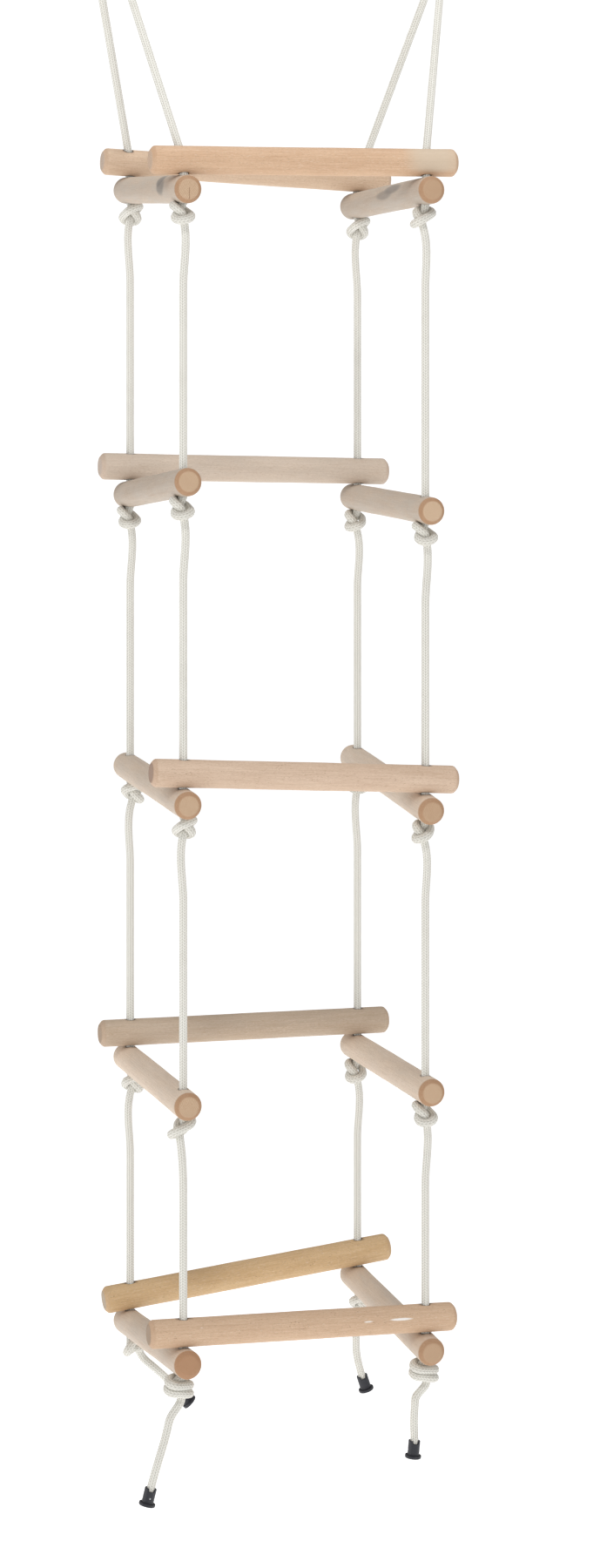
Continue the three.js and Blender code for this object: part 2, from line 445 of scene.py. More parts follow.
KNOTS: dict[Corner, tuple[Knot, ...]] = {
    Corner.LEFT_FRONT: (Knot(285), Knot(280), Knot(100), Knot(170),
                        Knot(25, True, KnotForm.DOUBLE, size=0.96, shift=(-0.009, 0))),
    Corner.RIGHT_FRONT: (Knot(215), Knot(290), Knot(240, size=0.94), Knot(288),
                         Knot(10, True, KnotForm.DOUBLE, size=0.96, shift=(-0.006, 0))),
    Corner.LEFT_REAR: (Knot(108), Knot(283), Knot(60), Knot(80),
                       Knot(60, lean=45, shift=(-0.008, -0.006))),
    Corner.RIGHT_REAR: (Knot(104), Knot(253), Knot(105), Knot(262), Knot(70)),
}


# ------------------------------------------------------------------ shader maths


Number = float | int


class Wire:
    """A number that varies over a surface. Arithmetic on it adds Math nodes."""

    def __init__(self, tree: bpy.types.NodeTree, socket: bpy.types.NodeSocket) -> None:
        """Wraps a socket.

        Args:
            tree: the material's node tree.
            socket: the output that gives the number.
        """
        self.tree = tree
        self.socket = socket

    def math(self, operation: str, *values: "Wire | Number", clamp: bool = False) -> "Wire":
        """Adds a Math node.

        Args:
            operation: the node's operation.
            values: its inputs, in order.
            clamp: whether the result stays between 0 and 1.

        Returns:
            The result.
        """
        node = self.tree.nodes.new("ShaderNodeMath")
        node.operation, node.use_clamp = operation, clamp
        for socket, value in zip(node.inputs, values):
            if isinstance(value, Wire):
                self.tree.links.new(value.socket, socket)
            else:
                socket.default_value = float(value)
        return Wire(self.tree, node.outputs[0])

    def __add__(self, other: "Wire | Number") -> "Wire":
        """self + other."""
        return self.math("ADD", self, other)

    __radd__ = __add__

    def __sub__(self, other: "Wire | Number") -> "Wire":
        """self - other."""
        return self.math("SUBTRACT", self, other)

    def __rsub__(self, other: "Wire | Number") -> "Wire":
        """other - self."""
        return self.math("SUBTRACT", other, self)

    def __mul__(self, other: "Wire | Number") -> "Wire":
        """self * other."""
        return self.math("MULTIPLY", self, other)

    __rmul__ = __mul__

    def __truediv__(self, other: "Wire | Number") -> "Wire":
        """self / other."""
        return self.math("DIVIDE", self, other)

    def __rtruediv__(self, other: "Wire | Number") -> "Wire":
        """other / self."""
        return self.math("DIVIDE", other, self)

    def __pow__(self, other: "Wire | Number") -> "Wire":
        """self to the power of other."""
        return self.math("POWER", self, other)

    def sine(self) -> "Wire":
        """The sine."""
        return self.math("SINE", self)

    def size(self) -> "Wire":
        """The number without its sign."""
        return self.math("ABSOLUTE", self)

    def fraction(self) -> "Wire":
        """What is left above the whole number below."""
        return self.math("FRACT", self)

    def whole(self) -> "Wire":
        """The whole number below."""
        return self.math("FLOOR", self)

    def held(self) -> "Wire":
        """The number, kept between 0 and 1."""
        return self.math("ADD", self, 0, clamp=True)

    def root(self) -> "Wire":
        """The square root."""
        return self.math("SQRT", self)

    def ramp(self, low: Number, high: Number) -> "Wire":
        """A smooth rise.

        Args:
            low: where it starts from 0.
            high: where it reaches 1. Below low, the ramp falls instead.

        Returns:
            The risen number, from 0 to 1.
        """
        t = ((self - low) / (high - low)).held()
        return t * t * (3 - 2 * t)


class Surface:
    """A material in the making: its tree, its shader and the nodes that feed it."""

    def __init__(self, name: str, **constants: float | Sequence[float]) -> None:
        """Starts a material.

        Args:
            name: the material's name.
            constants: values for the shader's own sockets, with spaces in their names as _.
        """
        self.material = bpy.data.materials.new(name)
        self.material.use_nodes = True
        self.tree = self.material.node_tree
        self.shader = self.tree.nodes["Principled BSDF"]
        for socket, value in constants.items():
            self.shader.inputs[socket.replace("_", " ")].default_value = value

    def node(self, kind: str, settings: dict | None = None, inputs: dict | None = None,
             output: str | int = 0) -> Wire:
        """Adds any node.

        Args:
            kind: the node's type.
            settings: its own properties, set first.
            inputs: values or wires for its sockets, by name or number.
            output: which output to give back.

        Returns:
            That output.
        """
        node = self.tree.nodes.new(kind)
        for key, value in (settings or {}).items():
            setattr(node, key, value)
        for key, value in (inputs or {}).items():
            if isinstance(value, Wire):
                self.tree.links.new(value.socket, node.inputs[key])
            else:
                node.inputs[key].default_value = value
        return Wire(self.tree, node.outputs[output])

    def attribute(self, name: str, output: str = "Vector") -> Wire:
        """What a mesh's own attribute gives at each point."""
        return self.node("ShaderNodeAttribute", {"attribute_name": name}, output=output)

    def parts(self, vector: Wire) -> tuple[Wire, Wire, Wire]:
        """A vector's three numbers."""
        split = self.node("ShaderNodeSeparateXYZ", inputs={0: vector})
        outputs = split.socket.node.outputs
        return Wire(self.tree, outputs[0]), Wire(self.tree, outputs[1]), Wire(self.tree, outputs[2])

    def vector(self, x: Wire | Number, y: Wire | Number, z: Wire | Number) -> Wire:
        """A vector of three numbers."""
        return self.node("ShaderNodeCombineXYZ", inputs={0: x, 1: y, 2: z})

    def scaled(self, vector: Wire, by: Sequence[float], moved: Sequence[float] = (0, 0, 0)) -> Wire:
        """A vector multiplied and then moved, number by number."""
        return self.node("ShaderNodeVectorMath", {"operation": "MULTIPLY_ADD"},
                         {0: vector, 1: tuple(by), 2: tuple(moved)})

    def noise(self, place: Wire, scale: float, detail: float = 2, roughness: float = 0.5) -> Wire:
        """Even noise from 0 to 1 about a half."""
        return self.node("ShaderNodeTexNoise", None, {
            "Vector": place, "Scale": scale, "Detail": detail, "Roughness": roughness})

    def cells(self, place: Wire, scale: float) -> Wire:
        """The distance to the nearest of scattered points."""
        return self.node("ShaderNodeTexVoronoi", None, {"Vector": place, "Scale": scale},
                         "Distance")

    def mix(self, share: Wire | Number, a: Wire | Colour, b: Wire | Colour) -> Wire:
        """A colour between two.

        Args:
            share: how much of b shows.
            a: the first colour.
            b: the second colour.

        Returns:
            The mixed colour.
        """
        node = self.tree.nodes.new("ShaderNodeMix")
        node.data_type, node.clamp_factor = "RGBA", True
        slots = [s for s in node.inputs if s.enabled]
        for socket, value in zip(slots, (share, a, b)):
            if isinstance(value, Wire):
                self.tree.links.new(value.socket, socket)
            else:
                socket.default_value = (*value, 1) if isinstance(value, tuple) else float(value)
        return Wire(self.tree, next(s for s in node.outputs if s.enabled))

    def feed(self, socket: str, value: Wire) -> None:
        """Links a value to one of the shader's sockets."""
        self.tree.links.new(value.socket, self.shader.inputs[socket])

    def bump(self, height: Wire, distance: float, strength: float = 1.0) -> None:
        """Lets a height, from 0 to 1, raise the surface by a distance in metres."""
        normal = self.node("ShaderNodeBump", None, {
            "Strength": strength, "Distance": distance, "Height": height})
        self.feed("Normal", normal)


# ------------------------------------------------------------------ finishes


@dataclass(frozen=True)
class Mark:
    """A patch on a dowel: its place along it and around it, its size and its colour.

    along is in metres from the middle, around in degrees from the front or right, turning up.
    """

    along: float
    around: float
    length: float
    width: float
    colour: Colour
    strength: float
    broken: float = 0.5


@dataclass(frozen=True)
class BeechFinish:
    """Sanded, unvarnished beech, for one rung."""

    name: str
    light: Colour
    dark: Colour
    seed: float
    flecks: float = 0.5
    greyed: float = 0.0
    ring_shift: tuple[float, float] = (0.05, 0.03)
    marks: tuple[Mark, ...] = ()
    face: Colour = (0.62, 0.46, 0.315)
    face_shade: float = 0.35
    chamfer_shade: float = 1.0
    cracked: bool = False

    CHAMFER: Colour = (0.36, 0.19, 0.095)
    FLECK: Colour = (0.24, 0.12, 0.055)
    PORE: Colour = (0.42, 0.27, 0.165)
    SHINE: Colour = (0.78, 0.66, 0.52)
    # Painted shade: the near-black colour inside the bores.
    BORE_SHADE: Colour = (0.07, 0.04, 0.022)
    GREY: Colour = (0.50, 0.455, 0.40)

    def material(self) -> bpy.types.Material:
        """Builds the material.

        Returns:
            The material, which reads the mesh's grain attribute and its attribute of ends and
            painted bore shade.
        """
        s = Surface(self.name, Roughness=0.58, IOR=1.45)
        grain = s.attribute("grain")
        along, across, up = s.parts(grain)
        chamfer, face, bore = s.parts(s.attribute("ends_and_bore_shade"))
        place = s.scaled(grain, (1, 1, 1), (self.seed, self.seed * 1.7, self.seed * 0.6))

        broad = s.noise(s.scaled(place, (9, 60, 60)), 1.0, 3, 0.6)
        streak = s.noise(s.scaled(place, (26, 620, 620)), 1.0, 4, 0.72)
        fibre = s.noise(s.scaled(place, (190, 2100, 2100)), 1.0, 3, 0.7)
        rings = self.rings(s, across, up, place)

        tone = (0.8 * (broad - 0.5) + 1.5 * (streak - 0.5) + 0.9 * (fibre - 0.5)
                + 0.14 * (rings ** 3) + 0.42).held()
        colour = s.mix(tone, self.light, self.dark)

        ray = s.noise(s.scaled(place, (320, 1700, 1700), (3, 7, 1)), 1.0, 1, 0.4)
        colour = s.mix(ray.ramp(0.58, 0.72) * 0.5, colour, self.PORE)
        glint = s.noise(s.scaled(place, (210, 1500, 1500), (8, 1, 5)), 1.0, 1, 0.4)
        colour = s.mix(glint.ramp(0.58, 0.74) * 0.35, colour, self.SHINE)
        dash = s.noise(s.scaled(place, (420, 1300, 1300), (1, 9, 4)), 1.0, 0, 0.4)
        sparse = s.noise(s.scaled(place, (45, 110, 110), (9, 2, 4)), 1.0, 1, 0.5)
        fleck = dash.ramp(0.73, 0.82) * sparse.ramp(0.46, 0.62) * self.flecks
        colour = s.mix(fleck * 0.85, colour, self.FLECK)

        grey = (s.noise(s.scaled(place, (14, 60, 60), (5, 5, 8)), 1.0, 4, 0.7).ramp(0.25, 0.8)
                * self.greyed)
        colour = s.mix(grey, colour, self.GREY)
        colour = self.marked(s, colour, along, across, up, place)

        pores = s.noise(s.scaled(place, (500, 1500, 1500)), 1.0, 3, 0.7)
        end_tone = (0.28 * (rings - 0.5) + 1.5 * (pores - 0.5) + self.face_shade).held()
        face_colour = s.mix(end_tone, self.face, self.CHAMFER)
        if self.cracked:
            wander = s.noise(s.scaled(place, (0, 0, 420)), 1.0, 2, 0.5) - 0.5
            beside = (across - 0.0006 - 0.003 * wander).size()
            face_colour = s.mix(beside.ramp(0.00045, 0.00015) * up.ramp(0.003, 0.001), face_colour,
                                self.FLECK)
        rough_ring = s.noise(s.scaled(place, (300, 700, 700)), 1.0, 3, 0.6)
        chamfer_colour = s.mix((1.1 - 0.6 * rough_ring).held(), self.face, self.CHAMFER)
        colour = s.mix(chamfer * self.chamfer_shade, colour, chamfer_colour)
        colour = s.mix(face, colour, face_colour)
        # Painted shade inside the bores and round their mouths.
        colour = s.mix(bore, colour, self.BORE_SHADE)
        s.feed("Base Color", colour)

        s.feed("Roughness", (0.5 + 0.25 * streak + 0.1 * face).held())
        s.bump(0.4 * streak + 0.6 * fibre - 0.9 * fleck + 0.35 * face * pores, 0.00025, 0.6)
        return s.material

    def rings(self, s: Surface, across: Wire, up: Wire, place: Wire) -> Wire:
        """The year rings about a pith beside the rung, as waves from 0 to 1."""
        warp = s.noise(s.scaled(place, (6, 70, 70)), 1.0, 3, 0.6)
        beside, above = across - self.ring_shift[0], up - self.ring_shift[1]
        radius = (beside * beside + above * above).root() + 0.004 * (warp - 0.5)
        return (radius * (TURN / 0.0019)).sine() * 0.5 + 0.5

    def marked(self, s: Surface, colour: Wire, along: Wire, across: Wire, up: Wire,
               place: Wire) -> Wire:
        """Lays the rung's marks over its wood.

        Args:
            s: the surface.
            colour: the wood's colour.
            along: metres along the rung from its middle.
            across: metres towards the front or right.
            up: metres upwards.
            place: the seeded place in the wood.

        Returns:
            The marked colour.
        """
        radius = PLAN.rung_diameter / 2
        for mark in self.marks:
            turn = math.radians(mark.around)
            beside = (across * -math.sin(turn) + up * math.cos(turn)) / mark.width
            outwards = across * math.cos(turn) + up * math.sin(turn)
            facing = outwards.ramp(0.1 * radius, 0.7 * radius)
            ahead = (along - mark.along) / mark.length
            patch = (1 - (ahead * ahead + beside * beside)).held() * facing
            moved = (mark.along * 90, 0, 3)
            broken = s.noise(s.scaled(place, (420, 1500, 1500), moved), 1.0, 4, 0.7)
            shape = (patch * (1 + mark.broken) - mark.broken * (1.2 - 1.2 * broken)).ramp(0.0, 1.0)
            colour = s.mix(shape * mark.strength, colour, mark.colour)
        return colour


@dataclass(frozen=True)
class Braid:
    """The rope's cover: stitches in columns that lean left and right in turn.

    relief is how far a stitch stands out, and middle the share of it below the rope's radius.
    """

    columns: int = 10
    stitch: float = 0.0034
    lean: float = 0.95
    relief: float = 0.0005
    middle: float = 0.6

    def height(self, around: np.ndarray, along: np.ndarray) -> np.ndarray:
        """How far the cover stands out.

        Args:
            around: turns about the rope, from 0 to 1.
            along: metres along the rope.

        Returns:
            Heights from 0, between stitches, to 1.
        """
        column = np.floor(around * self.columns)
        across = around * self.columns - column
        lean = np.where(column % 2 == 0, self.lean, -self.lean)
        phase = along / self.stitch + lean * (across - 0.5) + 0.25
        return (np.sin(math.pi * across) ** 0.7) * np.abs(np.sin(math.pi * phase)) ** 0.6


@dataclass(frozen=True)
class RopeFinish:
    """Off-white braided polyester."""

    braid: Braid
    name: str = "ivory_braid"
    yarn: Colour = (0.85, 0.838, 0.78)
    shade: Colour = (0.49, 0.468, 0.41)
    soil: Colour = (0.50, 0.46, 0.39)

    def material(self) -> bpy.types.Material:
        """Builds the material, which reads the rope's own map, in turns and metres.

        Returns:
            The material.
        """
        s = Surface(self.name, Roughness=0.8, Sheen_Weight=0.25, Sheen_Roughness=0.5)
        around, along, _ = s.parts(s.node("ShaderNodeUVMap", {"uv_map": "braid"}))
        count = around * self.braid.columns
        column, across = count.whole(), count.fraction()
        lean = (1 - 4 * (column * 0.5).fraction()) * self.braid.lean
        phase = along * (1 / self.braid.stitch) + lean * (across - 0.5) + 0.25
        ridge = (across * math.pi).sine() ** 0.7
        bead = ((phase * math.pi).sine().size()) ** 0.6
        stitch = ridge * bead

        map_place = s.vector(around * 31.4, along * 1000, 0)
        fibres = s.noise(s.scaled(map_place, (5.0, 1.1, 1)), 1.0, 2, 0.6)
        position = s.node("ShaderNodeTexCoord", output="Object")
        drift = s.noise(position, 22, 3, 0.6)
        fine = s.noise(position, 900, 2, 0.6)

        depth = stitch.ramp(0.0, 0.7)
        colour = s.mix(depth, self.shade, self.yarn)
        colour = s.mix((fibres - 0.5).size() * 0.9, colour, self.shade)
        colour = s.mix(drift.ramp(0.5, 0.85) * 0.22, colour, self.soil)
        soiled = s.attribute("soil", "Fac")
        colour = s.mix(soiled * (0.35 + 0.65 * fine), colour, self.soil)
        s.feed("Base Color", colour)
        s.feed("Roughness", (0.92 - 0.2 * depth).held())
        s.bump(0.75 * stitch + 0.25 * fibres, 0.0004, 0.7)
        return s.material


@dataclass(frozen=True)
class PlasticFinish:
    """Near-black moulded plastic with a satin skin, dusty in patches."""

    name: str = "black_cap"
    body: Colour = (0.012, 0.013, 0.02)
    dust: Colour = (0.16, 0.16, 0.165)

    def material(self) -> bpy.types.Material:
        """Builds the material.

        Returns:
            The material.
        """
        s = Surface(self.name, IOR=1.5)
        place = s.node("ShaderNodeTexCoord", output="Object")
        grainy = s.noise(place, 2600, 2, 0.5)
        cloud = s.noise(place, 160, 4, 0.7)
        specks = s.cells(place, 700)
        dusty = cloud.ramp(0.52, 0.8) * 0.28 + (1 - specks.ramp(0.05, 0.14)) * 0.5 * cloud
        s.feed("Base Color", s.mix(dusty.held(), self.body, self.dust))
        s.feed("Roughness", (0.3 + 0.3 * cloud + 0.25 * dusty).held())
        s.bump(0.7 * grainy + 0.3 * cloud, 0.00006, 0.5)
        return s.material


@dataclass(frozen=True)
class ZincFinish:
    """Zinc-plated steel, drawn and a little scratched."""

    name: str = "zinc_steel"
    bright: Colour = (0.66, 0.67, 0.68)
    dull: Colour = (0.36, 0.37, 0.385)

    def material(self) -> bpy.types.Material:
        """Builds the material.

        Returns:
            The material.
        """
        s = Surface(self.name, Metallic=1.0)
        place = s.node("ShaderNodeTexCoord", output="Object")
        cloud = s.noise(place, 190, 4, 0.65)
        spangle = s.cells(place, 420)
        scratch = s.noise(s.scaled(place, (500, 500, 6000)), 1.0, 3, 0.7)
        dull = (cloud.ramp(0.3, 0.75) * 0.7 + 0.5 * (spangle - 0.4)).held()
        s.feed("Base Color", s.mix(dull, self.bright, self.dull))
        s.feed("Roughness", (0.2 + 0.28 * dull + 0.18 * scratch).held())
        s.bump(0.5 * scratch + 0.5 * cloud, 0.00004, 0.5)
        return s.material


# ------------------------------------------------------------------ mesh making


def new_piece(name: str, points: Points, faces: Sequence[Sequence[int]] | np.ndarray,
              material: bpy.types.Material, smooth_angle: float = 40) -> bpy.types.Object:
    """Makes an object of a mesh, its place in its points.

    Args:
        name: the piece's name.
        points: its points, in the row frame.
        faces: its faces, by point number.
        material: its finish.
        smooth_angle: edges sharper than this many degrees stay crisp.

    Returns:
        The object.
    """
    mesh = bpy.data.meshes.new(name)
    mesh.from_pydata(np.asarray(points).tolist(), [], [list(map(int, f)) for f in faces])
    mesh.validate()
    mesh.materials.append(material)
    mesh.shade_smooth()
    mesh.set_sharp_from_angle(angle=math.radians(smooth_angle))
    obj = bpy.data.objects.new(name, mesh)
    bpy.context.scene.collection.objects.link(obj)
    return obj


def lathe(profile: Sequence[tuple[float, float]], sides: int) -> tuple[Points, list[list[int]]]:
    """Turns a profile about Z.

    Args:
        profile: (radius, height) pairs, from the axis at the bottom round to the axis again.
        sides: how many steps a turn has.

    Returns:
        The points and the faces.
    """
    turns = np.arange(sides) * TURN / sides
    points: list[Sequence[float]] = [(0, 0, profile[0][1])]
    for radius, height in profile[1:-1]:
        points += [(radius * math.cos(t), radius * math.sin(t), height) for t in turns]
    points.append((0, 0, profile[-1][1]))
    last = len(points) - 1
    faces: list[list[int]] = []
    for k in range(sides):
        n = (k + 1) % sides
        faces.append([0, 1 + n, 1 + k])
        for row in range(len(profile) - 3):
            a = 1 + row * sides
            faces.append([a + k, a + n, a + sides + n, a + sides + k])
        a = last - sides
        faces.append([a + k, a + n, last])
    return np.array(points, float), faces


def loft(rows: Points) -> tuple[Points, list[np.ndarray]]:
    """A closed skin over rings of points.

    Args:
        rows: rings, as an array of (rows, sides, 3).

    Returns:
        The points and the faces, of which the last two are the ends.
    """
    count, sides = rows.shape[:2]
    k = np.arange(sides)
    first = (np.arange(count - 1) * sides)[:, None]
    quads = np.stack([first + k, first + (k + 1) % sides, first + sides + (k + 1) % sides,
                      first + sides + k], axis=2).reshape(-1, 4)
    return rows.reshape(-1, 3), [*quads, k[::-1], (count - 1) * sides + k]


def carried_frames(line: Points) -> tuple[Points, Points, Points]:
    """Directions along and across a line that turn no more than the line does.

    Args:
        line: its points.

    Returns:
        The unit vectors along it, and two across it.
    """
    along = np.gradient(line, axis=0)
    along /= np.linalg.norm(along, axis=1)[:, None]
    seed = np.array([0.0, 1.0, 0.0]) if abs(along[0][1]) < 0.9 else np.array([1.0, 0.0, 0.0])
    across = np.empty_like(line)
    current = seed
    for i, way in enumerate(along):
        current = current - way * (current @ way)
        current /= np.linalg.norm(current)
        across[i] = current
    return along, across, np.cross(along, across)


# ------------------------------------------------------------------ ropes


@dataclass
class Rope:
    """One leg of a pair, from where the pair meets under its ring down to its capped end.

    settle is the length in which it comes back to plumb under a knot, swell its extra
    thickness in a sharp bend, and sharpest the curvature, in 1/m, that counts as a full bend.
    """

    corner: Corner
    tail: tuple[tuple[float, float, float], ...]
    knots: tuple[Knot, ...]
    shapes: dict[KnotForm, Points]
    braid: Braid
    sides: int = 36
    row: float = 0.00095
    turn_steps: int = 60
    fine_row: float = 0.0004
    rounding: int = 7
    under_rung: float = 0.3 * MILLIMETRE
    into_bore: float = 0.004
    tail_clearance: float = 0.009
    settle: float = 0.075
    swell: float = 0.07
    sharpest: float = 110
    most_lift: float = 0.007
    clear_of_bore: float = 0.0065
    worn: float = 0.28
    end_worn: float = 0.25
    end_reach: float = 0.03

    def on_ring(self, turn: float) -> Points:
        """The rope's place about the ring's wire.

        Args:
            turn: degrees about the wire, from the rear leg at 0 by way of the inside at 90.

        Returns:
            The point.
        """
        inner = PLAN.ring_radius - PLAN.ring_turn_radius
        half_step = PLAN.ring_turn_spacing / inner / 2
        t = min(max((90 - turn) / 360, 0), 1)
        along = (2 * t * t * (3 - 2 * t) - 1) * half_step * self.corner.side_x
        angle = math.radians(turn)
        inward = PLAN.ring_radius - PLAN.ring_turn_radius * math.sin(angle)
        return np.array([
            self.corner.side_x * PLAN.ring_x + inward * math.sin(along),
            PLAN.ring_turn_radius * math.cos(angle),
            PLAN.bar_height + PLAN.ring_radius - inward * math.cos(along),
        ])

    def line(self) -> Points:
        """The rope's middle line.

        Returns:
            Its points, a row apart.
        """
        x, y = PLAN.corner_xy(self.corner)
        bend = np.array([x, y, PLAN.top_rung_height(self.corner)])
        lean = math.degrees(math.atan2(PLAN.hole_spacing_y / 2, PLAN.bar_height - bend[2]))
        meet = -90
        leave = 180 - lean if self.corner.side_y < 0 else lean - 360
        turns = meet + (leave - meet) * np.linspace(0, 1, self.turn_steps)
        parts = [np.array([self.on_ring(turn) for turn in turns])]
        down = (bend - parts[0][-1]) / np.linalg.norm(bend - parts[0][-1])
        mouth = bend + [0, self.corner.side_y * PLAN.mouth_shift, -PLAN.rung_diameter / 2]
        parts.append(np.array([bend - PLAN.leg_bend * down, mouth]))
        for storey in range(1, PLAN.storeys + 1):
            parts += self.through_storey(storey, x, y)
        line = resample(np.concatenate(parts), self.fine_row)
        return resample(softened(line, self.rounding), self.row)

    def through_storey(self, storey: int, x: float, y: float) -> list[Points]:
        """The line from a side rung's bore down its knot, and back to plumb or to the tail.

        Args:
            storey: 1 at the top.
            x: the rope's place.
            y: the rope's place.

        Returns:
            Stretches of the line, from the top.
        """
        axis = PLAN.side_axis(self.corner, storey)
        slope = math.atan2(axis.direction[2], abs(axis.direction[1]))
        centre = axis.height_at(1, y)
        rest = centre - (PLAN.rung_diameter / 2) / math.cos(slope) - self.under_rung
        knot = self.nestled(self.knots[storey - 1].strand(self.shapes) + [x, y, rest], axis)
        inlet = centre + (0 if storey == 1 else PLAN.rung_diameter / 2)
        out = [np.array([[x, y, inlet], [x, y, rest + self.into_bore]]), knot]
        way = knot[-1] - knot[-4]
        way /= np.linalg.norm(way)
        if storey < PLAN.storeys:
            plumb = np.array([x, y, knot[-1][2] - self.settle])
            out.append(eased(knot[-1], way, plumb, -UP))
            return out
        tail = np.array([[x, y, 0]]) + np.array(self.tail)
        tail = tail[tail[:, 2] < knot[-1][2] - self.tail_clearance]
        tail_way = (tail[1] - tail[0]) / np.linalg.norm(tail[1] - tail[0])
        out.append(eased(knot[-1], way, tail[0], tail_way, 10))
        out.append(through(tail)[1:])
        return out

    def nestled(self, knot: Points, axis: Axis) -> Points:
        """Lifts a knot until one of its turns touches the round underside of its rung.

        A knot that leans out to the side stays where it is.

        Args:
            knot: its strand, with its top level with the rung's lowest line.
            axis: the rung's axis.

        Returns:
            The lifted strand.
        """
        if knot[-1][0] - knot[0][0] > self.most_lift:
            return knot
        beside = knot[:, 0] - axis.start[0]
        turns = np.hypot(beside, knot[:, 1] - knot[0][1]) > self.clear_of_bore
        reach = (PLAN.rung_diameter + PLAN.rope_diameter) / 2
        heights = np.array([axis.height_at(1, y) for y in knot[:, 1]])
        room = heights - np.sqrt(np.clip(reach**2 - beside**2, 0, None)) - knot[:, 2]
        lift = float(np.clip(room[turns].min(), 0, self.most_lift))
        return knot + UP * lift * (np.arange(len(knot)) > 0)[:, None]

    def build(self, material: bpy.types.Material) -> tuple[bpy.types.Object, Points]:
        """Makes the rope's mesh.

        Args:
            material: its finish.

        Returns:
            The piece, and its middle line.
        """
        line = self.line()
        _, across, beyond = carried_frames(line)
        run = np.arange(len(line)) * length_of(line) / (len(line) - 1)
        way = -self.corner.side_y
        around = np.arange(self.sides) / self.sides
        height = self.braid.height((way * around[None]) % 1, way * run[:, None])
        plain = PLAN.rope_diameter / 2 * (1 + self.swell * self.bent(line))
        radius = plain[:, None] + self.braid.relief * (height - self.braid.middle)
        angle = (around * TURN)[None, :, None]
        rings = line[:, None] + radius[:, :, None] * (
            np.cos(angle) * across[:, None] + np.sin(angle) * beyond[:, None])
        points, faces = loft(rings)
        name = f"{self.corner.label}_braided_rope"
        piece = new_piece(name, points, faces, material, 75)
        self.map_braid(piece.data, run, way)
        self.soil(piece.data, line, run)
        return piece, line

    def bent(self, line: Points) -> np.ndarray:
        """How sharply the rope is bent about each point.

        Args:
            line: the rope's middle line.

        Returns:
            A share for each point, from 0 where it is straight to 1.
        """
        bend = np.linalg.norm(np.gradient(np.gradient(line, axis=0), axis=0), axis=1)
        window = np.hanning(15) / np.hanning(15).sum()
        return np.clip(np.convolve(bend / (self.row**2 * self.sharpest), window, "same"), 0, 1)

    def map_braid(self, mesh: bpy.types.Mesh, run: np.ndarray, way: int) -> None:
        """Writes turns about the rope and metres along it for each face's corners.

        Args:
            mesh: the rope's mesh.
            run: metres along the rope, for each ring.
            way: -1 where the pattern runs backwards, on the pair's other leg.
        """
        first = np.arange(self.sides) / self.sides
        second = first + 1 / self.sides
        rows = len(run) - 1
        u = np.tile(np.stack([first, second, second, first], axis=1), (rows, 1))
        low, high = np.repeat(run[:-1], self.sides), np.repeat(run[1:], self.sides)
        v = np.stack([low, low, high, high], axis=1)
        u = way * u + (1 if way < 0 else 0)
        whole_stitches = 10 * self.braid.stitch * 1000
        quads = np.stack([u, way * v + whole_stitches], axis=2).reshape(-1, 2)
        ends = np.zeros((2 * self.sides, 2))
        layer = mesh.uv_layers.new(name="braid")
        layer.data.foreach_set("uv", np.concatenate([quads, ends]).astype(np.float32).ravel())

    def soil(self, mesh: bpy.types.Mesh, line: Points, run: np.ndarray) -> None:
        """Darkens the rope a little where it is handled and rubs on wood.

        Args:
            mesh: the rope's mesh.
            line: the rope's middle line.
            run: metres along it.
        """
        worn = self.worn * self.bent(line)
        end = np.clip(1 - (run[-1] - run) / self.end_reach, 0, 1) * self.end_worn
        values = np.repeat(np.maximum(worn, end), self.sides)
        layer = mesh.attributes.new("soil", "FLOAT", "POINT")
        layer.data.foreach_set("value", values.astype(np.float32))


# ------------------------------------------------------------------ caps, pins and rings


